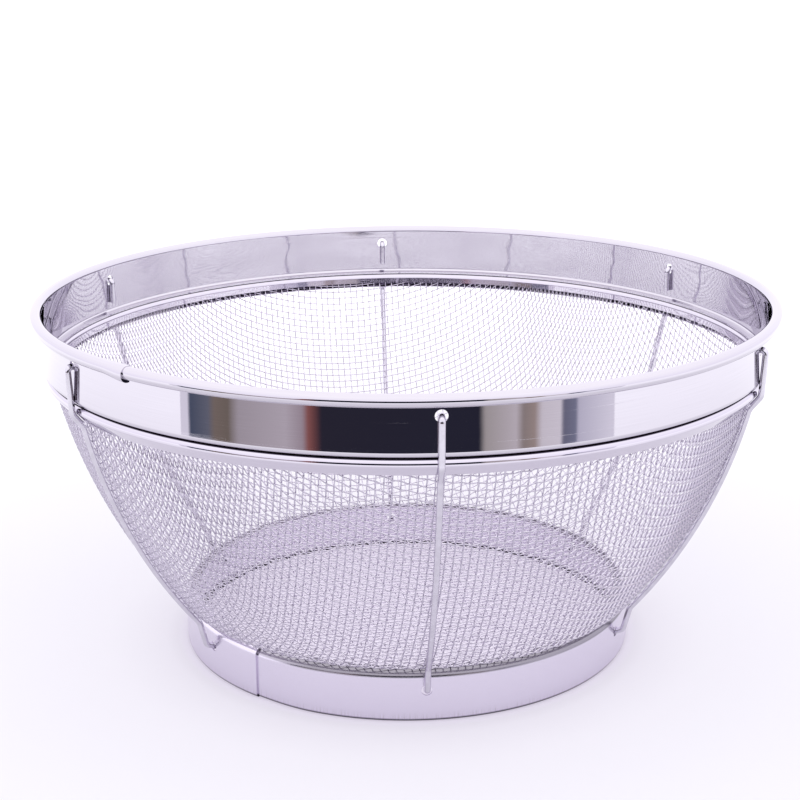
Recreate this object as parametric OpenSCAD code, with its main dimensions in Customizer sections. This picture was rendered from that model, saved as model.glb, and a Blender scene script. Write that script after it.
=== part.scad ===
// Basket strainer: a woven wire bowl clamped by six ribs between a rim band and a foot ring.
// Origin at the centre of the foot's underside, +Z up, the front facing -Y.

/* [Rim band] */
// Outer diameter over the rolled bead
rim_d = 240; // [236:0.5:250]
// Height of the top of the bead above the ground
rim_z = 115.6; // [115:0.1:116.8]
// Outer diameter of the bead's rolled tube
bead_d = 3.7; // [3.5:0.1:4.2]
// Height of the band, from its underside to the top of the bead
band_h = 18.2; // [17.6:0.1:18.4]
// Radius where the band turns inward at the bottom, to its outer face
edge_r = 1.6; // [1.4:0.1:2]
// Width of the shelf that the band's lower edge turns into
shelf_w = 3.3; // [2.8:0.1:3.6]
// Thickness of the band's sheet
rim_t = 0.6; // [0.5:0.05:0.6]
// Diameter of the six rib holes in the band
rim_hole_d = 3.6; // [3.4:0.1:4]
// Distance from the top of the bead down to the rib holes
rim_hole_drop = 6.5; // [6.4:0.1:6.7]
// Length of the sleeve where the bead's two ends lap, in degrees
lap_turn = 9; // [4:1:14]
// Where the bead closes, turned from the front towards -X, in degrees
bead_seam_turn = 40.5; // [34:0.5:46]

/* [Bowl] */
// Radius of the side wall's curve, to the cloth's outer face
wall_r = 178; // [177.8:0.1:178.2]
// Distance of that curve's centre beyond the axis, on the far side
wall_across = 59.9; // [59.8:0.1:60]
// Height of that curve's centre above the ground
wall_z = 132; // [131.9:0.1:132.1]
// Height of the flat base's underside above the ground
base_z = 16.42; // [16.42:0.02:16.6]
// Radius between the base and the wall, to the cloth's outer face
knuckle_r = 9; // [7:0.5:11]
// Thickness of the woven cloth, two wires deep
cloth_t = 0.9; // [0.7:0.05:0.9]
// Height of the cloth's cut edge inside the hem
cloth_top_z = 95.9; // [95:0.1:96.2]

/* [Hem ring] */
// Thickness of the hem's folded sheet
hem_t = 0.5; // [0.4:0.05:0.5]
// Radius of the hem's rounded nose, to its outer face
nose_r = 1.85; // [1.75:0.05:1.9]
// Distance of the nose's outermost point from the axis
nose_reach = 116.5; // [116.4:0.05:116.55]
// Height of the lower end of the outer leg
outer_leg_z = 92.2; // [92:0.1:92.6]
// Height of the lower end of the inner leg
inner_leg_z = 94; // [93.6:0.1:94.4]

/* [Foot ring] */
// Outer diameter of the foot ring
foot_d = 149.4; // [148:0.2:150]
// Height of the foot ring's shoulder
foot_h = 16.4; // [16:0.1:16.4]
// Radius of the shoulder, to its outer face
shoulder_r = 2.25; // [1.6:0.05:2.6]
// Width of the lip that the shoulder turns into
lip_w = 4.4; // [3:0.2:6]
// Width of the turned edge that stands on the ground
toe_w = 1.8; // [1.5:0.1:3]
// Radius of the turned edge, to its outer face
toe_r = 1.1; // [0.8:0.1:1.4]
// Thickness of the foot's sheet
foot_t = 0.5; // [0.4:0.05:0.6]
// Diameter of the six rib holes in the foot
foot_hole_d = 3.3; // [3.2:0.1:3.6]
// Height of the rib holes in the foot
foot_hole_z = 10.3; // [10.1:0.1:10.5]
// Width of the seam where the foot's strip closes
seam_w = 0.35; // [0.2:0.05:0.6]
// Where the foot's strip closes, turned from the front towards -X, in degrees
seam_turn = 39; // [30:1:50]

/* [Ribs] */
// Diameter of the rib wire
rib_d = 1.9; // [1.6:0.1:1.9]
// How far the ribs are turned from the front towards +X, in degrees
rib_turn = 4.3; // [0:0.1:8]
// Gap between a rib and the sheet or cloth beside it
rib_gap = 0.05; // [0.03:0.01:0.08]
// Height of the lower end of a rib's leg inside the band
rib_end_z = 101.2; // [99.5:0.1:103]

/* [Hidden] */
$fn = 180;
rib_step = 60;
wire_fn = 32;
small = 0.01;
steel = [0.83, 0.83, 0.86];
satin_steel = [0.76, 0.76, 0.8];
cloth_steel = [0.7, 0.7, 0.74];

// Rim band: middle line of its sheet, as distance from the axis and height
bead_r = (bead_d - rim_t) / 2;
band_x = rim_d / 2 - rim_t / 2 - 2 * bead_r;
band_top = rim_z - rim_t / 2;
band_foot = rim_z - band_h + rim_t / 2;
curl_end = band_x + rim_t + 0.55;
band_line = [[band_x + rim_t / 2 - shelf_w, band_foot], [band_x, band_foot], [band_x, band_top],
  [band_x + 2 * bead_r, band_top], [band_x + 2 * bead_r, band_top - 2 * bead_r],
  [curl_end, band_top - 2 * bead_r]];
band_bends = [0, edge_r - rim_t / 2, bead_r, bead_r, bead_r, 0];
rim_hole_z = rim_z - rim_hole_drop;

// Sleeve: the bead's left end, rolled a little wider so that the right end slips in
sleeve_r = bead_r + 0.4;
sleeve_x = band_x + bead_r;
sleeve_z = band_top - bead_r;
sleeve_line = [[sleeve_x - 0.9, sleeve_z + sleeve_r], [sleeve_x + sleeve_r, sleeve_z + sleeve_r],
  [sleeve_x + sleeve_r, sleeve_z - sleeve_r], [sleeve_x - 0.6, sleeve_z - sleeve_r]];
sleeve_bends = [0, sleeve_r, sleeve_r, 0];

// Wall: a circle about wall_centre. off is a distance out from the cloth's outer face.
wall_centre = [-wall_across, wall_z];
function wall_angle(z, off) = asin((wall_z - z) / (wall_r + off));
function wall_at(z, off) = wall_centre
  + (wall_r + off) * [cos(wall_angle(z, off)), -sin(wall_angle(z, off))];
function wall_down(z, off) = [-sin(wall_angle(z, off)), -cos(wall_angle(z, off))];
// Corner where the wall's tangents at two heights meet
function wall_corner(z1, z2, off) =
  let (a = (wall_angle(z1, off) + wall_angle(z2, off)) / 2,
    b = (wall_angle(z2, off) - wall_angle(z1, off)) / 2)
  wall_centre + (wall_r + off) / cos(b) * [cos(a), -sin(a)];

// Cloth: its middle line. The knuckle's circle touches the base and the wall.
cloth_off = -cloth_t / 2;
floor_mid = base_z + cloth_t / 2;
knuckle_mid = knuckle_r - cloth_t / 2;
knuckle_angle = asin((wall_z - floor_mid - knuckle_mid) / (wall_r - knuckle_r));
wall_foot_z = wall_z - (wall_r + cloth_off) * sin(knuckle_angle);
wall_foot_dir = wall_down(wall_foot_z, cloth_off);
wall_foot = wall_at(wall_foot_z, cloth_off);
knuckle_corner = wall_foot + wall_foot_dir * (wall_foot[1] - floor_mid) / -wall_foot_dir[1];
cloth_line = [[0, floor_mid], knuckle_corner, wall_corner(cloth_top_z, wall_foot_z, cloth_off),
  wall_at(cloth_top_z, cloth_off)];
cloth_bends = [0, knuckle_mid, wall_r + cloth_off, 0];

// Hem ring: a folded strip whose two legs pinch the cloth
pinch = hem_t / 2 + 0.02;
nose_mid = nose_r - hem_t / 2;
nose_bend = nose_mid - 0.15;
nose_x = nose_reach - hem_t / 2;
nose_top = rim_z - band_h - 0.05 - hem_t / 2;
hem_line = [wall_at(outer_leg_z, pinch), [nose_x, nose_top - 2], [nose_x, nose_top],
  [nose_x - 2 * nose_mid, nose_top], wall_at(inner_leg_z, -cloth_t - pinch)];
hem_bends = [0, 0.5, nose_bend, nose_bend, 0];

// Foot ring: middle line of its sheet
foot_x = foot_d / 2 - foot_t / 2;
foot_line = [[foot_x - toe_w, foot_t / 2], [foot_x, foot_t / 2], [foot_x, foot_h - foot_t / 2],
  [foot_x - lip_w, foot_h - foot_t / 2]];
foot_bends = [0, toe_r - foot_t / 2, shoulder_r - foot_t / 2, 0];

// Rib: middle line of its wire, from inside the band, out, down the bowl and into the foot
clear = rib_d / 2 + rib_gap;
rib_in = band_x - rim_t / 2 - clear;
rib_out = band_x + rim_t / 2 + clear + 0.4;
rib_hook = (rib_out - rib_in) / 2 - 0.2;
rib_on_z = 88;
rib_off_z = 21;
hem_leg = unit(hem_line[1] - hem_line[0]);
rib_knee = hem_line[1] + [hem_leg[1], -hem_leg[0]] * (clear + hem_t / 2) + hem_leg * 0.6;
rib_line = [[rib_in, rib_end_z], [rib_in, rim_hole_z], [rib_out, rim_hole_z], rib_knee,
  wall_at(rib_on_z, clear) - 2.3 * wall_down(rib_on_z, clear),
  wall_corner(rib_on_z, rib_off_z, clear),
  wall_at(rib_off_z, clear) + 2 * wall_down(rib_off_z, clear),
  [foot_d / 2 + 2.5, foot_hole_z + 1.15], [foot_d / 2 - 3.2, foot_hole_z - 1.15]];
rib_bends = [0, rib_hook, rib_hook, 2.2, 3, wall_r + clear, 3, 1.7, 0];

// A bent line is a list of corners and the bend radius at each one
function unit(v) = v / norm(v);
function before(c, i) = unit(c[i] - c[i - 1]);
function after(c, i) = unit(c[i + 1] - c[i]);
function turn(u, v) = atan2(u[0] * v[1] - u[1] * v[0], u * v);
function bend(c, i) = turn(before(c, i), after(c, i));
// Length of a corner that its bend takes up on each side
function setback(c, r, i) = (i == 0 || i == len(c) - 1) ? 0 : r[i] * tan(abs(bend(c, i)) / 2);
function bend_centre(c, r, i) = c[i] - before(c, i) * setback(c, r, i)
  + sign(bend(c, i)) * r[i] * [-before(c, i)[1], before(c, i)[0]];
function straight(c, r, i) = norm(c[i + 1] - c[i]) - setback(c, r, i) - setback(c, r, i + 1);
// A straight runs a little way into the bends at its ends, which are a hair thicker
function lap(c, i) = (i == 0 || i == len(c) - 1) ? 0 : 8 * small;
function straight_start(c, r, i) = c[i] + after(c, i) * (setback(c, r, i) - lap(c, i));
function straight_length(c, r, i) = straight(c, r, i) + lap(c, i) + lap(c, i + 1);
// Direction from a bend's centre to where the bend starts
function bend_start(c, i) = atan2(before(c, i)[1], before(c, i)[0]) - sign(bend(c, i)) * 90;
// Number of chords that keep a bend within 0.01 of its true curve
function bend_steps(c, r, i) = ceil(abs(bend(c, i)) / (2 * acos(1 - small / r[i])));
function end_dir(c, i) = i == 0 ? after(c, i) : before(c, i);
// Points beside corner i, at a distance to the left of the line
function side(c, r, i, off) = (i == 0 || i == len(c) - 1)
  ? [c[i] + off * [-end_dir(c, i)[1], end_dir(c, i)[0]]]
  : let (n = bend_steps(c, r, i), reach = r[i] - sign(bend(c, i)) * off)
    [for (k = [0:n]) let (a = bend_start(c, i) + bend(c, i) * k / n)
      bend_centre(c, r, i) + reach * [cos(a), sin(a)]];

// Section of a sheet bent along a line: its left side out and its right side back
module strip(c, r, t) {
  polygon(concat(
    [for (i = [0:len(c) - 1]) each side(c, r, i, t / 2)],
    [for (i = [len(c) - 1:-1:0]) let (p = side(c, r, i, -t / 2), n = len(p) - 1)
      for (k = [n:-1:0]) p[k]]
  ));
}

// Round wire bent along a line that lies in the XZ plane
module wire(c, r, d) {
  for (i = [0:len(c) - 2])
    if (straight(c, r, i) > small) {
      from = straight_start(c, r, i);
      translate([from[0], 0, from[1]])
        rotate([0, atan2(after(c, i)[0], after(c, i)[1]), 0])
          cylinder(h = straight_length(c, r, i), d = d, $fn = wire_fn);
    }
  for (i = [1:len(c) - 2]) {
    centre = bend_centre(c, r, i);
    translate([centre[0], 0, centre[1]])
      rotate([90, 0, 0])
        rotate(bend_start(c, i) + min(bend(c, i), 0))
          rotate_extrude(angle = abs(bend(c, i)))
            translate([r[i], 0])
              circle(d = d + 2 * small, $fn = wire_fn);
  }
}

// Turns a thing made at +X to a place round the axis, counted from the front towards +X
module around(turned) {
  rotate(turned - 90) children();
}

// Drills one round hole through a ring for each rib
module rib_holes(d, z, out) {
  for (i = [0:5])
    around(rib_turn + i * rib_step)
      translate([out - 4, 0, z])
        rotate([0, 90, 0])
          cylinder(h = 8, d = d, $fn = 48);
}

module rim_band() {
  color(steel) {
    difference() {
      rotate_extrude() strip(band_line, band_bends, rim_t);
      rib_holes(rim_hole_d, rim_hole_z, band_x);
    }
    around(-bead_seam_turn - lap_turn)
      rotate_extrude(angle = lap_turn) strip(sleeve_line, sleeve_bends, rim_t);
  }
}

module hem_ring() {
  color(steel)
    rotate_extrude() strip(hem_line, hem_bends, hem_t);
}

module mesh_bowl() {
  color(cloth_steel)
    rotate_extrude() strip(cloth_line, cloth_bends, cloth_t);
}

module foot_ring() {
  color(satin_steel) {
    difference() {
      rotate_extrude() strip(foot_line, foot_bends, foot_t);
      rib_holes(foot_hole_d, foot_hole_z, foot_x);
      around(-seam_turn)
        translate([foot_x - lip_w - 1, -seam_w / 2, foot_t])
          cube([lip_w + 3, seam_w, foot_h]);
    }
  }
}

module rib(turned) {
  color(steel)
    around(turned)
      wire(rib_line, rib_bends, rib_d);
}

rim_band();
hem_ring();
mesh_bowl();
foot_ring();
rib(rib_turn);  // rib_front
rib(rib_turn + rib_step);  // rib_front_right
rib(rib_turn + 2 * rib_step);  // rib_back_right
rib(rib_turn + 3 * rib_step);  // rib_back
rib(rib_turn + 4 * rib_step);  // rib_back_left
rib(rib_turn + 5 * rib_step);  // rib_front_left
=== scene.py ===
"""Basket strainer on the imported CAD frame.

The rim band, hem, foot and wire cloth are built here as finer pieces in the same places as their
CAD nodes; the six ribs keep their CAD solids. Lengths are in millimetres until a mesh is made.
An angle called a turn is counted round the axis from the front (-Y) towards +X.
"""

import math

import bmesh
import bpy
import numpy as np
from mathutils import Matrix


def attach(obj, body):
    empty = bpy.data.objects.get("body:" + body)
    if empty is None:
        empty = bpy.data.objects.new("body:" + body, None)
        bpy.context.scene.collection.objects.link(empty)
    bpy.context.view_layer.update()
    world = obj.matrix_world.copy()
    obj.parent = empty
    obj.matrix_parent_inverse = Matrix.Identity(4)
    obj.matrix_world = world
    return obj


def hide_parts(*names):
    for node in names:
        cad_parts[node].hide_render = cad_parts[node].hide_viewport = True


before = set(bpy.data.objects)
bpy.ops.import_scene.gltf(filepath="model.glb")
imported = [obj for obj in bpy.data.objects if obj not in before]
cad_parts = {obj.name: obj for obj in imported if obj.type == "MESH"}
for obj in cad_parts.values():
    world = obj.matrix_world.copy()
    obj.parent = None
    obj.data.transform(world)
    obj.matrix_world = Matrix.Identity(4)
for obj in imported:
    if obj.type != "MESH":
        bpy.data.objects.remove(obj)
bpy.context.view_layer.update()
scene = bpy.context.scene
MM = 0.001


# ---------------------------------------------------------------- sizes, as in the CAD model
RIM_TOP = 115.6
RIM_R = 120.0
RIM_T = 0.6
BEAD_R = 1.55  # to the middle of the rolled sheet
BAND_H = 18.2
BAND_X = RIM_R - RIM_T / 2 - 2 * BEAD_R
BAND_TOP = RIM_TOP - RIM_T / 2
BAND_FOOT = RIM_TOP - BAND_H + RIM_T / 2
BAND_LEAN = 0.3  # the wall's top stands this much nearer the axis than its foot
BEAD_END = BAND_X + RIM_T + 0.55  # where the rolled sheet's edge stops, from the axis
SHELF_W = 3.3
EDGE_R = 1.3
RIM_HOLE_Z, RIM_HOLE_D = 109.1, 3.6

WALL_R = 178.0  # side wall's curve, to the cloth's outer face
WALL_CENTRE = np.array([-59.9, 132.0])  # distance from the axis, height
CLOTH_T = 0.9
CLOTH_TOP = 95.9
FLOOR_Z = 16.42 + CLOTH_T / 2
KNUCKLE_R = 9.0 - CLOTH_T / 2

HEM_T = 0.5
NOSE_X = 116.25
NOSE_R = 1.6
NOSE_TOP = RIM_TOP - BAND_H - 0.05 - HEM_T / 2
OUTER_LEG_Z, INNER_LEG_Z = 92.2, 94.0

FOOT_T = 0.5
FOOT_X = 74.45
FOOT_H = 16.4
LIP_W, TOE_W = 4.4, 1.8
SHOULDER_R, TOE_R = 2.0, 0.85
FOOT_HOLE_Z, FOOT_HOLE_D = 10.3, 3.3

RIB_TURNS = [4.3 + 60 * i for i in range(6)]
SEAM_TURN = -39.0  # where the foot closes
BEAD_SEAM = -40.5  # where the bead closes
SLEEVE_TURN = 12  # how far round the bead's sleeve reaches
SLEEVE_T = 0.34
FLARE_TURN, FLARE = 5, 0.5  # the sleeve's end widens by FLARE over its last FLARE_TURN


# ---------------------------------------------------------------- mesh helpers
SUPPORT = 0.04  # distance of the extra points just outside a bend


def unit(v):
    return v / np.linalg.norm(v, axis=-1, keepdims=True)


def smooth(x):
    """0 below 0, 1 above 1, and a smooth step between."""
    x = np.clip(x, 0, 1)
    return x * x * (3 - 2 * x)


def beside(corners, bends, off):
    """Points at a distance to the left of a line whose corners are rounded."""
    c = [np.array(p, float) for p in corners]
    ahead = [unit(b - a) for a, b in zip(c, c[1:])]
    left = [np.array([-u[1], u[0]]) for u in ahead]
    points = [c[0] + off * left[0]]
    for i in range(1, len(c) - 1):
        u, v = ahead[i - 1], ahead[i]
        angle = math.atan2(u[0] * v[1] - u[1] * v[0], u @ v)
        side = math.copysign(1, angle)
        centre = c[i] - u * bends[i] * math.tan(abs(angle) / 2) + side * bends[i] * left[i - 1]
        start = math.atan2(u[1], u[0]) - side * math.pi / 2
        steps = max(3, math.ceil(abs(angle) / math.radians(7.5)))
        reach = bends[i] - side * off
        arc = [centre + reach * np.array([math.cos(a), math.sin(a)])
               for a in start + angle * np.arange(steps + 1) / steps]
        # the extra points keep the straight parts flat under smooth shading
        if (arc[0] - points[-1]) @ u > 0.1:
            points.append(arc[0] - SUPPORT * u)
        points += arc
        if (c[i + 1] - c[i]) @ v - bends[i] * math.tan(abs(angle) / 2) > bends[i + 1] + 0.1:
            points.append(arc[-1] + SUPPORT * v)
    points.append(c[-1] + off * left[-1])
    return np.array(points)


def strip(corners, bends, thickness):
    """Closed outline of a sheet bent along a line, anticlockwise."""
    outline = np.vstack([beside(corners, bends, thickness / 2),
                         beside(corners, bends, -thickness / 2)[::-1]])
    x, z = outline.T
    area = (x * np.roll(z, -1) - z * np.roll(x, -1)).sum()
    return outline if area > 0 else outline[::-1]


def around(turn, r, z):
    """Place at a turn, a distance from the axis and a height."""
    a = np.radians(turn)
    return np.stack(np.broadcast_arrays(r * np.sin(a), -r * np.cos(a), z), -1)


def mesh_piece(name, verts, faces, uvs=None, sharp=35):
    """Makes a piece from vertices in millimetres and equal-sided faces."""
    mesh = bpy.data.meshes.new(name)
    sides = faces.shape[1]
    mesh.vertices.add(len(verts))
    mesh.vertices.foreach_set("co", (np.asarray(verts) * MM).astype(np.float32).ravel())
    mesh.loops.add(faces.size)
    mesh.loops.foreach_set("vertex_index", faces.astype(np.int32).ravel())
    mesh.polygons.add(len(faces))
    mesh.polygons.foreach_set("loop_start", np.arange(0, faces.size, sides, dtype=np.int32))
    mesh.polygons.foreach_set("use_smooth", np.ones(len(faces), bool))
    if uvs is not None:
        mesh.uv_layers.new(name="UVMap").data.foreach_set("uv", uvs.astype(np.float32).ravel())
    mesh.update(calc_edges=True)
    mesh.validate()
    if sharp:
        mesh.set_sharp_from_angle(angle=math.radians(sharp))
    piece = bpy.data.objects.new(name, mesh)
    scene.collection.objects.link(piece)
    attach(piece, "root")
    return piece


def ring_piece(name, outline_at, turns, closed=True):
    """Sweeps an outline round the axis. outline_at(turn) gives it at each turn."""
    outlines = np.array([outline_at(t) for t in turns])
    rings, points = outlines.shape[:2]
    verts = around(np.asarray(turns)[:, None], outlines[..., 0], outlines[..., 1]).reshape(-1, 3)
    spans = rings if closed else rings - 1
    k, m = np.meshgrid(np.arange(spans), np.arange(points), indexing="ij")
    k, m = k.ravel(), m.ravel()
    next_k, next_m = (k + 1) % rings, (m + 1) % points
    faces = np.stack([k * points + m, next_k * points + m,
                      next_k * points + next_m, k * points + next_m], -1)
    length = np.linalg.norm(np.roll(outlines[0], -1, 0) - outlines[0], axis=1)
    v = np.concatenate([[0], np.cumsum(length)]) * MM
    step = math.radians(abs(turns[1] - turns[0])) * outlines[0, :, 0].mean() * MM
    uvs = np.stack([np.stack([k, k + 1, k + 1, k], -1) * step,
                    np.stack([v[m], v[m], v[m + 1], v[m + 1]], -1)], -1).reshape(-1, 2)
    piece = mesh_piece(name, verts, faces, uvs)
    if not closed:
        cap_ends(piece, points, rings)
    return piece


def cap_ends(piece, points, rings):
    """Closes the two cut ends of an open sweep."""
    bm = bmesh.new()
    bm.from_mesh(piece.data)
    bm.verts.ensure_lookup_table()
    first = [bm.verts[i] for i in range(points)]
    last = [bm.verts[(rings - 1) * points + i] for i in range(points)]
    for loop in (first, last[::-1]):
        face = bm.faces.new(loop)
        # the cut ends take the dark second material, partly painted shade
        face.material_index = 1
        bmesh.ops.triangulate(bm, faces=[face])
    bm.to_mesh(piece.data)
    bm.free()
    piece.data.set_sharp_from_angle(angle=math.radians(35))


def drill(piece, height, diameter, reach):
    """Cuts a round hole through a ring for each rib."""
    bm = bmesh.new()
    for turn in RIB_TURNS:
        place = (Matrix.Rotation(math.radians(turn), 4, "Z")
                 @ Matrix.Translation((0, -reach * MM, height * MM))
                 @ Matrix.Rotation(math.pi / 2, 4, "X"))
        bmesh.ops.create_cone(bm, cap_ends=True, segments=48, radius1=diameter / 2 * MM,
                              radius2=diameter / 2 * MM, depth=8 * MM, matrix=place)
    mesh = bpy.data.meshes.new("drill")
    bm.to_mesh(mesh)
    bm.free()
    cutter = bpy.data.objects.new("drill", mesh)
    scene.collection.objects.link(cutter)
    cut = piece.modifiers.new("holes", "BOOLEAN")
    cut.object, cut.operation, cut.solver = cutter, "DIFFERENCE", "EXACT"
    graph = bpy.context.evaluated_depsgraph_get()
    drilled = bpy.data.meshes.new_from_object(piece.evaluated_get(graph), depsgraph=graph)
    piece.modifiers.clear()
    piece.data = drilled
    drilled.set_sharp_from_angle(angle=math.radians(35))
    bpy.data.objects.remove(cutter)


# ---------------------------------------------------------------- rim band
def bead_dip(turn):
    """How far the bead's right end is drawn in where it slips into the left end."""
    away = abs(turn - BEAD_SEAM)
    return 0.75 * (1 - smooth((away - 1.0) / 5))


def band_outline(turn):
    """Section of the band: shelf, wall, and the sheet rolled outward into the bead."""
    r = BEAD_R - bead_dip(turn)
    top = BAND_TOP - 2 * (BEAD_R - r)
    out = BAND_X + 2 * r
    line = [(BAND_X + RIM_T / 2 - SHELF_W, BAND_FOOT), (BAND_X, BAND_FOOT),
            (BAND_X - BAND_LEAN, top), (out, top), (out, top - 2 * r), (BEAD_END, top - 2 * r)]
    return strip(line, [0, EDGE_R, r, r, r, 0], RIM_T)


def sleeve_outline(turn):
    """The bead's left end: flush at its far end and flared where it takes in the right end."""
    grow = FLARE * smooth((turn - BEAD_SEAM + FLARE_TURN) / FLARE_TURN)
    r = BEAD_R + RIM_T / 2 - SLEEVE_T / 2 + 0.02 + grow
    x, z = BAND_X + BEAD_R, BAND_TOP - BEAD_R - 0.8 * grow
    line = [(x - 1.1, z + r), (x + r, z + r), (x + r, z - r), (x - 0.7, z - r)]
    return strip(line, [0, r, r, 0], SLEEVE_T)


def build_rim():
    band = ring_piece("band", band_outline, np.arange(0, 360, 0.5))
    drill(band, RIM_HOLE_Z, RIM_HOLE_D, BAND_X)
    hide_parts("rim_band")
    sleeve_turns = np.linspace(BEAD_SEAM - SLEEVE_TURN, BEAD_SEAM, 33)
    sleeve = ring_piece("bead_sleeve", sleeve_outline, sleeve_turns, closed=False)
    darken_inside(sleeve)
    return [band, sleeve]


def darken_inside(sleeve):
    """Gives the sleeve's faces that look towards the bead's middle the dark edge material, as
    painted shade inside the bead's slot.
    """
    for face in sleeve.data.polygons:
        x, y, z = face.center / MM
        r = math.hypot(x, y)
        out = (face.normal.x * x + face.normal.y * y) / r * (r - BAND_X - BEAD_R)
        if out + face.normal.z * (z - BAND_TOP + BEAD_R) < 0:
            face.material_index = 1


# ---------------------------------------------------------------- hem and foot
def wall_at(z, off):
    """Point of the side wall at a height, moved out from the cloth's outer face."""
    r = WALL_R + off
    a = math.asin((WALL_CENTRE[1] - z) / r)
    return WALL_CENTRE + r * np.array([math.cos(a), -math.sin(a)])


def build_hem():
    pinch = HEM_T / 2 + 0.02
    line = [wall_at(OUTER_LEG_Z, pinch), (NOSE_X, NOSE_TOP - 2), (NOSE_X, NOSE_TOP),
            (NOSE_X - 2 * NOSE_R, NOSE_TOP), wall_at(INNER_LEG_Z, -CLOTH_T - pinch)]
    outline = strip(line, [0, 0.5, NOSE_R - 0.15, NOSE_R - 0.15, 0], HEM_T)
    hem = ring_piece("hem", lambda turn: outline, np.arange(0, 360, 0.5))
    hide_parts("hem_ring")
    return [hem]


def foot_outline(turn):
    """The strip starts inside its own end and works out to full size past the seam."""
    inset = 0.62 * (1 - smooth((turn - SEAM_TURN) / 16))
    x = FOOT_X - inset
    line = [(x - TOE_W, FOOT_T / 2), (x, FOOT_T / 2), (x, FOOT_H - FOOT_T / 2 - inset),
            (x - LIP_W, FOOT_H - FOOT_T / 2 - inset)]
    return strip(line, [0, TOE_R, SHOULDER_R, 0], FOOT_T)


def build_foot():
    turns = np.arange(SEAM_TURN - 7, SEAM_TURN + 360.01, 0.5)
    foot = ring_piece("foot", foot_outline, turns, closed=False)
    drill(foot, FOOT_HOLE_Z, FOOT_HOLE_D, FOOT_X)
    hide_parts("foot_ring")
    return [foot]


# ---------------------------------------------------------------- wire cloth
PITCH = 2.33
WEAVE_TURN = 12
WIRE_R = 0.205
RINGS, SIDES = 4, 6  # rings of a wire's mesh in each pitch, and points round each ring
KNUCKLE_FALL = math.asin((WALL_CENTRE[1] - FLOOR_Z - KNUCKLE_R) / (WALL_R - 9.0))
FLOOR_R = WALL_CENTRE[0] + (WALL_R - 9.0) * math.cos(KNUCKLE_FALL)
KNUCKLE_LENGTH = KNUCKLE_R * (math.pi / 2 - KNUCKLE_FALL)
WALL_START = FLOOR_R + KNUCKLE_LENGTH
WALL_MID = WALL_R - CLOTH_T / 2
CLOTH_LENGTH = WALL_START + WALL_MID * (
    KNUCKLE_FALL - math.asin((WALL_CENTRE[1] - CLOTH_TOP) / WALL_MID))


def along(s):
    """Distance from the axis, height and outward slope at a length s up the cloth's section."""
    t = np.clip((s - FLOOR_R) / KNUCKLE_R, 0, math.pi / 2 - KNUCKLE_FALL)
    a = KNUCKLE_FALL - np.maximum(s - WALL_START, 0) / WALL_MID
    wall = s > WALL_START
    r = np.where(wall, WALL_CENTRE[0] + WALL_MID * np.cos(a),
                 np.minimum(s, FLOOR_R) + KNUCKLE_R * np.sin(t))
    z = np.where(wall, WALL_CENTRE[1] - WALL_MID * np.sin(a),
                 FLOOR_Z + KNUCKLE_R * (1 - np.cos(t)))
    slope = np.where(wall, math.pi / 2 - a, t)
    return r, z, slope


def onto(p):
    """Length up the section of the cloth's nearest point to p."""
    r, z = np.hypot(p[..., 0], p[..., 1]), p[..., 2]
    t = np.arctan2(r - FLOOR_R, FLOOR_Z + KNUCKLE_R - z)
    a = np.arctan2(WALL_CENTRE[1] - z, r - WALL_CENTRE[0])
    return np.where(r < FLOOR_R, r, np.where(
        a < KNUCKLE_FALL, WALL_START + (KNUCKLE_FALL - a) * WALL_MID, FLOOR_R + KNUCKLE_R * t))


def surface(p):
    """Nearest point of the cloth's middle surface, and its two unit directions and normal there."""
    s = onto(p)
    r, z, slope = along(s)
    e = unit(p[..., :2] + 1e-12)
    point = np.concatenate([e * r[..., None], z[..., None]], -1)
    up = np.concatenate([e * np.cos(slope)[..., None], np.sin(slope)[..., None]], -1)
    round_ = np.stack([-e[..., 1], e[..., 0], np.zeros_like(r)], -1)
    return point, up, round_, np.cross(up, round_)


def drape():
    """Nodes of a square weave pressed over one quarter of the bowl, every cell side one pitch long.

    The wires through the centre run straight up the section. Each further node is one pitch from
    its two neighbours, so the cells stay square on the axes and shear between them.
    """
    n = math.ceil(CLOTH_LENGTH / PITCH) + 3
    nodes = np.full((n, n, 3), np.nan)
    r, z, _ = along(np.arange(n) * PITCH)
    nodes[:, 0] = np.stack([r, 0 * r, z], -1)
    nodes[0, :] = np.stack([0 * r, r, z], -1)
    for k in range(2, 2 * n - 1):
        i = np.arange(max(1, k - n + 1), min(n, k))
        j = k - i
        a, b, c = nodes[i - 1, j], nodes[i, j - 1], nodes[i - 1, j - 1]
        p = a + b - c
        for _ in range(12):
            p, up, round_, _n = surface(p)
            da, db = p - a, p - b
            m = np.stack([np.stack([(da * up).sum(-1), (da * round_).sum(-1)], -1),
                          np.stack([(db * up).sum(-1), (db * round_).sum(-1)], -1)], -2)
            gap = np.stack([PITCH ** 2 - (da ** 2).sum(-1), PITCH ** 2 - (db ** 2).sum(-1)], -1) / 2
            det = m[..., 0, 0] * m[..., 1, 1] - m[..., 0, 1] * m[..., 1, 0]
            det = np.where(np.abs(det) < 1e-3, 1e-3, det)
            x = (gap[..., 0] * m[..., 1, 1] - gap[..., 1] * m[..., 0, 1]) / det
            y = (gap[..., 1] * m[..., 0, 0] - gap[..., 0] * m[..., 1, 0]) / det
            size = np.maximum(1, np.hypot(x, y) / PITCH)
            p = p + up * (x / size)[..., None] + round_ * (y / size)[..., None]
        p = surface(p)[0]
        p[onto(p) > CLOTH_LENGTH + 3 * PITCH] = np.nan
        nodes[i, j] = p
    return nodes


def whole_net(quarter):
    """The quarter mirrored into the whole bowl, then turned to how the cloth lay in the press."""
    half = np.concatenate([(quarter * [-1, 1, 1])[:0:-1], quarter])
    net = np.concatenate([(half * [1, -1, 1])[:, :0:-1], half], 1)
    c, s = math.cos(math.radians(WEAVE_TURN)), math.sin(math.radians(WEAVE_TURN))
    return net @ np.array([[c, s, 0], [-s, c, 0], [0, 0, 1]])


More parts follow.
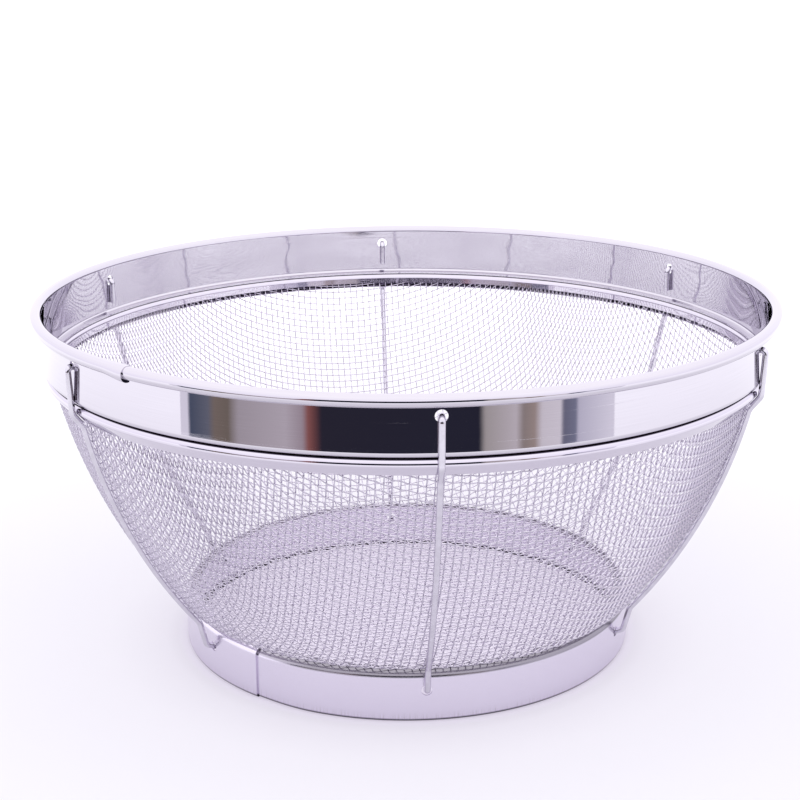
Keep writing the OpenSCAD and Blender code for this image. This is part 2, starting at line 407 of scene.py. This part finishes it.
def wire_runs(nodes, parity):
    """Middle lines of one wire: Catmull-Rom through its nodes, rising and falling by one wire."""
    s = onto(nodes)
    inside = np.flatnonzero(~np.isnan(s) & (s < CLOTH_LENGTH + PITCH))
    if len(inside) < 2:
        return []
    runs = []
    for run in np.split(inside, np.flatnonzero(np.diff(inside) > 1) + 1):
        if len(run) < 3:
            continue
        p = nodes[run]
        q = np.vstack([2 * p[0] - p[1], p, 2 * p[-1] - p[-2]])
        t = np.arange(RINGS) / RINGS
        a, b, c, d = (q[i:len(q) - 3 + i, None] for i in range(4))
        t = t[None, :, None]
        line = 0.5 * (2 * b + (c - a) * t + (2 * a - 5 * b + 4 * c - d) * t ** 2
                      + (3 * b - a - 3 * c + d) * t ** 3)
        line = np.vstack([line.reshape(-1, 3), p[-1]])
        beat = run[0] + np.arange(len(line)) / RINGS
        line, up, round_, normal = surface(line)
        line = line + normal * (WIRE_R * np.cos(np.pi * beat) * parity)[:, None]
        keep = onto(line) <= CLOTH_LENGTH
        if keep.sum() > 4:
            runs.append((line[keep], normal[keep]))
    return runs


def tube(line, normal):
    """Vertices and faces of a round wire along a line."""
    ahead = unit(np.gradient(line, axis=0))
    side = unit(np.cross(ahead, normal))
    over = np.cross(side, ahead)
    a = np.arange(SIDES) * 2 * np.pi / SIDES
    ring = np.cos(a)[None, :, None] * over[:, None] + np.sin(a)[None, :, None] * side[:, None]
    verts = (line[:, None] + WIRE_R * ring).reshape(-1, 3)
    k, m = np.meshgrid(np.arange(len(line) - 1), np.arange(SIDES), indexing="ij")
    k, m = k.ravel(), m.ravel()
    next_m = (m + 1) % SIDES
    faces = np.stack([k * SIDES + m, k * SIDES + next_m,
                      (k + 1) * SIDES + next_m, (k + 1) * SIDES + m], -1)
    return verts, faces


def build_cloth():
    """Warp and weft wires, in bands of neighbouring wires so that no piece grows too large."""
    net = whole_net(drape())
    count = net.shape[0]
    pieces = []
    for family, grid in (("warp", net), ("weft", net.transpose(1, 0, 2))):
        sign = 1 if family == "warp" else -1
        wires = []
        for i in range(count):
            wires += [tube(*run) for run in wire_runs(grid[i], sign * (-1) ** i)]
        total = sum(len(f) for _, f in wires)
        group, used, part = [], 0, 1
        for wire in wires:
            group.append(wire)
            used += len(wire[1])
            if used > total / 4 or wire is wires[-1]:
                pieces.append(join_wires(f"cloth_{family}_{part}", group))
                group, used, part = [], 0, part + 1
    for piece in pieces:
        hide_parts("mesh_bowl")
    return pieces


def join_wires(name, wires):
    """One piece from the vertices and faces of many wires."""
    starts = np.cumsum([0] + [len(v) for v, _ in wires[:-1]])
    verts = np.vstack([v for v, _ in wires])
    faces = np.vstack([f + s for (_, f), s in zip(wires, starts)])
    return mesh_piece(name, verts, faces, sharp=None)


# ---------------------------------------------------------------- materials
def new_material(name, base, metallic, roughness):
    mat = bpy.data.materials.new(name)
    mat.use_nodes = True
    shader = mat.node_tree.nodes["Principled BSDF"]
    shader.inputs["Base Color"].default_value = (*base, 1)
    shader.inputs["Metallic"].default_value = metallic
    shader.inputs["Roughness"].default_value = roughness
    return mat, shader


def node(mat, kind, **settings):
    n = mat.node_tree.nodes.new(kind)
    for key, value in settings.items():
        if key in n.inputs.keys():
            n.inputs[key].default_value = value
        else:
            setattr(n, key, value)
    return n


def link(mat, a, b):
    mat.node_tree.links.new(a, b)


def stretched_noise(mat, coord, stretch, scale, detail=4.0):
    """Noise drawn out along one way of the surface, such as the lines that rolling leaves."""
    where = node(mat, "ShaderNodeTexCoord")
    mapping = node(mat, "ShaderNodeMapping", Scale=stretch)
    noise = node(mat, "ShaderNodeTexNoise", Scale=scale, Detail=detail)
    link(mat, where.outputs[coord], mapping.inputs["Vector"])
    link(mat, mapping.outputs["Vector"], noise.inputs["Vector"])
    return noise.outputs["Fac"]


def spread(mat, value, low, high, out_low, out_high):
    """Maps low..high of a value to out_low..out_high, held at its ends."""
    ramp = node(mat, "ShaderNodeMapRange")
    for name, number in (
            ("From Min", low), ("From Max", high), ("To Min", out_low), ("To Max", out_high)):
        ramp.inputs[name].default_value = number
    link(mat, value, ramp.inputs["Value"])
    return ramp.outputs["Result"]


def bump(mat, shader, height, distance, below=None):
    """Fine relief, on top of the relief below it where there is one."""
    b = node(mat, "ShaderNodeBump", Strength=1.0, Distance=distance)
    link(mat, height, b.inputs["Height"])
    if below is not None:
        link(mat, below, b.inputs["Normal"])
    link(mat, b.outputs["Normal"], shader.inputs["Normal"])
    return b.outputs["Normal"]


def product(mat, a, b):
    times = node(mat, "ShaderNodeMath", operation="MULTIPLY")
    link(mat, a, times.inputs[0])
    link(mat, b, times.inputs[1])
    return times.outputs[0]


def tint(mat, shader, value, dark, light):
    """Colours the shader from dark to light as value goes from 0 to 1."""
    mix = node(mat, "ShaderNodeMix", data_type="RGBA")
    mix.inputs[6].default_value = (*dark, 1)
    mix.inputs[7].default_value = (*light, 1)
    link(mat, value, mix.inputs["Factor"])
    link(mat, mix.outputs[2], shader.inputs["Base Color"])


def overlay(mat, shader, value, colour):
    """Covers the shader's colour with another where value is 1."""
    mix = node(mat, "ShaderNodeMix", data_type="RGBA")
    mix.inputs[7].default_value = (*colour, 1)
    link(mat, shader.inputs["Base Color"].links[0].from_socket, mix.inputs[6])
    link(mat, value, mix.inputs["Factor"])
    link(mat, mix.outputs[2], shader.inputs["Base Color"])


def part_of(mat, vector, part):
    """The X, Y or Z of a vector."""
    split = node(mat, "ShaderNodeSeparateXYZ")
    link(mat, vector, split.inputs[0])
    return split.outputs[part]


def facing_out(mat, where, middle=(0, 0, 0), keep=(1, 1, 1)):
    """Cosine between the surface's normal and the way out from a middle point or, where keep drops
    the height, from the axis."""
    offset = node(mat, "ShaderNodeVectorMath", operation="SUBTRACT")
    offset.inputs[1].default_value = middle
    kept = node(mat, "ShaderNodeVectorMath", operation="MULTIPLY")
    kept.inputs[1].default_value = keep
    outward = node(mat, "ShaderNodeVectorMath", operation="NORMALIZE")
    cosine = node(mat, "ShaderNodeVectorMath", operation="DOT_PRODUCT")
    link(mat, where.outputs["Object"], offset.inputs[0])
    link(mat, offset.outputs[0], kept.inputs[0])
    link(mat, kept.outputs[0], outward.inputs[0])
    link(mat, outward.outputs[0], cosine.inputs[0])
    link(mat, where.outputs["Normal"], cosine.inputs[1])
    return cosine.outputs["Value"]


def polished_steel(name, base, scratch=1.0):
    """Mirror-polished strip: faint rolling lines along it, a few scratches, and a slow waviness
    that is stronger inside."""
    mat, shader = new_material(name, base, 1.0, 0.05)
    lines = stretched_noise(mat, "UV", (1, 260, 1), 40, 6)
    marks = stretched_noise(mat, "UV", (5, 900, 1), 1.3, 2)
    rough = node(mat, "ShaderNodeMath", operation="MAXIMUM")
    link(mat, spread(mat, lines, 0.35, 0.75, 0.01, 0.03), rough.inputs[0])
    link(mat, spread(mat, marks, 0.66, 0.76, 0, 0.3), rough.inputs[1])
    link(mat, rough.outputs[0], shader.inputs["Roughness"])
    where = node(mat, "ShaderNodeTexCoord")
    facing = facing_out(mat, where, keep=(1, 1, 0))
    wave = product(mat, stretched_noise(mat, "UV", (1, 2, 1), 40, 1),
                   spread(mat, facing, -0.3, 0.3, 1, 0.12))
    slow = bump(mat, shader, wave, 0.0002)
    bump(mat, shader, lines, 0.000001 * scratch, below=slow)
    tint(mat, shader, spread(mat, lines, 0.3, 0.7, 0, 1), [c * 0.93 for c in base], base)
    # painted shade in the crevice where the band sits on the hem
    painted_crevice_shade(mat, shader, where, spread(mat, facing, -0.1, 0.1, 0, 1))
    return mat


def painted_crevice_shade(mat, shader, where, outer):
    """Painted shade: darkens the line where the band sits on the hem, where outer is 1."""
    height = part_of(mat, where.outputs["Object"], "Z")
    edge_z = (RIM_TOP - BAND_H) * MM
    above_nose = spread(mat, height, edge_z - 0.0005, edge_z - 0.0003, 0, 1)
    below_wall = spread(mat, height, edge_z + 0.0002, edge_z + 0.0005, 1, 0)
    line = product(mat, above_nose, below_wall)
    overlay(mat, shader, product(mat, line, outer), (0.07, 0.06, 0.085))


def satin_steel(name, base):
    """Foot strip: soft reflections, fine lines round it, darker grey streaks low down, painted
    shade on its shoulder, and a painted contact shadow at the ground.
    """
    mat, shader = new_material(name, base, 1.0, 0.2)
    lines = stretched_noise(mat, "UV", (1, 160, 1), 60, 5)
    link(mat, spread(mat, lines, 0.3, 0.7, 0.16, 0.26), shader.inputs["Roughness"])
    wave = stretched_noise(mat, "UV", (1, 2, 1), 30, 1)
    slow = bump(mat, shader, wave, 0.00003)
    bump(mat, shader, lines, 0.000003, below=slow)
    where = node(mat, "ShaderNodeTexCoord")
    height = part_of(mat, where.outputs["Object"], "Z")
    length = part_of(mat, where.outputs["UV"], "X")
    # painted shade and reflection: the shoulder darkens to 0.38 of the base colour
    tint(mat, shader, painted_shoulder_shade(mat, height, length), base, [c * 0.38 for c in base])
    # streaky darker grey towards the foot's bottom edge
    streaks = stretched_noise(mat, "UV", (900, 1, 1), 2, 3)
    low_grey_streaks = product(mat, spread(mat, streaks, 0.45, 0.7, 0, 0.35),
                     spread(mat, height, 0.0035, 0.0008, 0, 1))
    overlay(mat, shader, low_grey_streaks, (0.25, 0.23, 0.22))
    # painted contact shadow: near-black along the lowest millimetre of the foot
    overlay(mat, shader, spread(mat, height, 0.0012, 0.0006, 0, 1), (0.05, 0.045, 0.06))
    return mat


def painted_shoulder_shade(mat, height, length):
    """Painted shade and reflection: 1 on the foot's shoulder, which stands in for the bowl's dark
    underside mirrored there, less just past the seam, and 0 on the strip's overlapping end.
    """
    shoulder = spread(mat, height, (FOOT_H - 2.2) * MM, (FOOT_H - 1.7) * MM, 0, 1)
    past_seam = spread(mat, length, 0.009, 0.03, 0.6, 1)
    overlap = spread(mat, length, 0.40, 0.42, 1, 0)
    return product(mat, product(mat, shoulder, past_seam), overlap)


def wire_steel(name, base, roughness, scale):
    """Drawn wire: bright, with slight changes of tone along it."""
    mat, shader = new_material(name, base, 1.0, roughness)
    tone = stretched_noise(mat, "Object", (1, 1, 1), scale, 3)
    link(mat, spread(mat, tone, 0.3, 0.7, roughness * 0.8, roughness * 1.3),
         shader.inputs["Roughness"])
    tint(mat, shader, spread(mat, tone, 0.3, 0.7, 0, 1), [c * 0.88 for c in base], base)
    return mat


def cloth_steel():
    """Wire cloth: bright on the bowl's inner side, painted darker outside, where it faces the
    table: painted shade for the dark surroundings the outer side mirrors.
    """
    inner, outer = (0.70, 0.66, 0.75), (0.56, 0.53, 0.62)
    mat, shader = new_material("cloth_steel", inner, 1.0, 0.18)
    where = node(mat, "ShaderNodeTexCoord")
    facing = facing_out(mat, where, middle=(0, 0, CLOTH_TOP * MM))
    grain = stretched_noise(mat, "Object", (1, 1, 1), 900, 3)
    link(mat, spread(mat, grain, 0.3, 0.7, 0.14, 0.24), shader.inputs["Roughness"])
    uneven = node(mat, "ShaderNodeMath", operation="ADD")
    link(mat, facing, uneven.inputs[0])
    link(mat, spread(mat, grain, 0.3, 0.7, -0.1, 0.1), uneven.inputs[1])
    # painted shade: each wire darkens on its side that faces out of the bowl
    tint(mat, shader, spread(mat, uneven.outputs[0], -0.3, 0.6, 0, 1), inner, outer)
    return mat


def sheared_edge_and_shade():
    """Cut end of a strip, dull beside its polished face, and painted shade: its near-black colour
    also fills the shaded slot inside the bead's sleeve.
    """
    mat, shader = new_material("sheared_edge_and_shade", (0.05, 0.045, 0.06), 0.6, 0.5)
    grain = stretched_noise(mat, "Object", (1, 1, 1), 3000, 2)
    tint(mat, shader, spread(mat, grain, 0.3, 0.7, 0, 1), (0.03, 0.03, 0.04), (0.09, 0.08, 0.1))
    return mat


def paint(pieces, *mats):
    """Gives pieces their materials, the first for their faces and a second for cut edges and
    painted shade in hollows.
    """
    for piece in pieces:
        piece.data.materials.clear()
        for mat in mats:
            piece.data.materials.append(mat)


# ---------------------------------------------------------------- stage
SCREEN_R = 440.0  # distance of the room's screen from the axis
SCREEN_TURNS = np.linspace(-61, 55, 117)


def colour_ramp(mat, value, stops):
    """A colour that goes through (value, colour) pairs."""
    ramp = node(mat, "ShaderNodeValToRGB")
    link(mat, value, ramp.inputs["Fac"])
    elements = ramp.color_ramp.elements
    for place, colour in stops:
        elements.new(place).color = (*colour, 1)
    elements.remove(elements[0])
    elements.remove(elements[len(elements) - 1])
    return ramp.outputs["Color"]


def build_stage():
    """A wide pale floor in a soft white tent, and the room that the polished band reflects."""
    bpy.ops.mesh.primitive_plane_add(size=14)
    floor = bpy.context.object
    floor.name = "floor"
    floor.data.materials.append(floor_paper())
    soft_tent()
    room_beyond()


def floor_paper():
    """Pale paper, lit a little more away from the part, and less right under it."""
    mat, shader = new_material("floor_paper", (0.30, 0.297, 0.325), 0.0, 0.9)
    shader.inputs["Specular IOR Level"].default_value = 0.0
    shader.inputs["Emission Strength"].default_value = 1.0
    where = node(mat, "ShaderNodeTexCoord")
    away = node(mat, "ShaderNodeVectorMath", operation="LENGTH")
    link(mat, where.outputs["Object"], away.inputs[0])
    stops = [(r, (level, level * (1 - lilac), level * (1 + lilac))) for r, level, lilac in (
        (0.0, 0.56, 0.10), (0.0735, 0.52, 0.10), (0.076, 0.46, 0.05), (0.08, 0.52, 0.045),
        (0.1, 0.56, 0.035), (0.2, 0.60, 0.015), (0.5, 1.0, 0.0))]
    link(mat, colour_ramp(mat, away.outputs["Value"], stops), shader.inputs["Emission Color"])
    return mat


def soft_tent():
    """White light from all round, a little lilac near the ground."""
    world = bpy.data.worlds.new("tent")
    scene.world = world
    world.use_nodes = True
    world.node_tree.nodes.clear()
    where = node(world, "ShaderNodeTexCoord")
    height = part_of(world, where.outputs["Generated"], "Z")
    background = node(world, "ShaderNodeBackground", Strength=1.5)
    out = node(world, "ShaderNodeOutputWorld")
    stops = [(0.0, (0.86, 0.84, 0.92)), (0.8, (1, 0.985, 1))]
    link(world, colour_ramp(world, height, stops), background.inputs["Color"])
    link(world, background.outputs[0], out.inputs["Surface"])


def room_beyond():
    """A curved screen round the front: dark behind the lens, with pale and brown furniture at its
    sides. Only mirror-like surfaces see it."""
    turns, n = SCREEN_TURNS, len(SCREEN_TURNS)
    height = 90 + 60 * smooth((30 - abs(turns - 1)) / 8)
    low, high = around(turns, SCREEN_R, 0.0) * MM, around(turns, SCREEN_R, height) * MM
    mesh = bpy.data.meshes.new("room")
    mesh.from_pydata(np.concatenate([low, high]).tolist(), [],
                     [(i, i + 1, n + i + 1, n + i) for i in range(n - 1)])
    uv = mesh.uv_layers.new(name="UVMap")
    for i in range(n - 1):
        start, end = i / (n - 1), (i + 1) / (n - 1)
        for k, u in enumerate((start, end, end, start)):
            uv.data[4 * i + k].uv = (u, k // 2)
    mesh.materials.append(room_glow())
    screen = bpy.data.objects.new("room", mesh)
    scene.collection.objects.link(screen)
    screen.visible_camera = screen.visible_diffuse = screen.visible_shadow = False
    screen.visible_transmission = screen.visible_volume_scatter = False


def room_glow():
    """The room's colours, by turn from the left end of the screen to its right."""
    mat = bpy.data.materials.new("room")
    mat.use_nodes = True
    mat.node_tree.nodes.clear()
    where = node(mat, "ShaderNodeUVMap")
    glow = node(mat, "ShaderNodeEmission")
    out = node(mat, "ShaderNodeOutputMaterial")
    colours = [
        (-60.3, (0.98, 0.95, 1.05)), (-58.53, (0.98, 0.95, 1.05)), (-58.13, (0.09, 0.11, 0.17)),
        (-52.4, (0.17, 0.18, 0.23)), (-50.45, (0.25, 0.20, 0.17)), (-46.5, (0.22, 0.18, 0.15)),
        (-43.55, (0.50, 0.45, 0.48)), (-30.75, (0.62, 0.56, 0.60)), (-26.3, (0.46, 0.38, 0.42)),
        (-24.85, (0.34, 0.13, 0.12)), (-23.35, (0.20, 0.08, 0.08)), (-21.4, (0.03, 0.028, 0.045)),
        (18.0, (0.026, 0.026, 0.045)), (19.5, (0.50, 0.46, 0.44)), (27.35, (0.70, 0.64, 0.66)),
        (29.35, (0.36, 0.30, 0.28)), (32.3, (0.45, 0.36, 0.32)), (34.25, (0.85, 0.80, 0.84)),
        (39.2, (0.9, 0.85, 0.9)), (40.15, (0.2, 0.2, 0.28)), (43.6, (0.25, 0.26, 0.36)),
        (44.3, (0.7, 0.68, 0.8)), (53.95, (0.98, 0.95, 1.05))]
    first, last = SCREEN_TURNS[0], SCREEN_TURNS[-1]
    stops = [((turn - first) / (last - first), colour) for turn, colour in colours]
    along_screen = part_of(mat, where.outputs["UV"], "X")
    link(mat, colour_ramp(mat, along_screen, stops), glow.inputs["Color"])
    link(mat, glow.outputs[0], out.inputs["Surface"])
    return mat


def build_camera():
    """A 76 mm lens about half a metre away, looking down into the bowl."""
    data = bpy.data.cameras.new("camera")
    data.lens, data.sensor_width = 75.6, 36.0
    data.clip_start = 0.01
    camera = bpy.data.objects.new("camera", data)
    scene.collection.objects.link(camera)
    camera.matrix_world = (Matrix.Translation((-2.03 * MM, -533.0 * MM, 236.5 * MM))
                           @ Matrix.Rotation(math.radians(90 - 16.447), 4, "X")
                           @ Matrix.Rotation(math.radians(-0.28), 4, "Z"))
    scene.camera = camera


# ---------------------------------------------------------------- put together
build_camera()
build_stage()
# dark material for cut ends, also painted shade inside the bead's sleeve
edge_and_shade = sheared_edge_and_shade()
paint(build_rim(), polished_steel("band_steel", (0.635, 0.608, 0.675)), edge_and_shade)
paint(build_hem(), polished_steel("hem_steel", (0.65, 0.615, 0.70), 0.6))
paint(build_foot(), satin_steel("foot_steel", (0.745, 0.70, 0.81)), edge_and_shade)
paint(build_cloth(), cloth_steel())
ribs = [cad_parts[n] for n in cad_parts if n.startswith("rib_")]
paint(ribs, wire_steel("rib_steel", (0.68, 0.655, 0.73), 0.12, 500))

scene.view_settings.view_transform = "Standard"
scene.view_settings.look = "None"
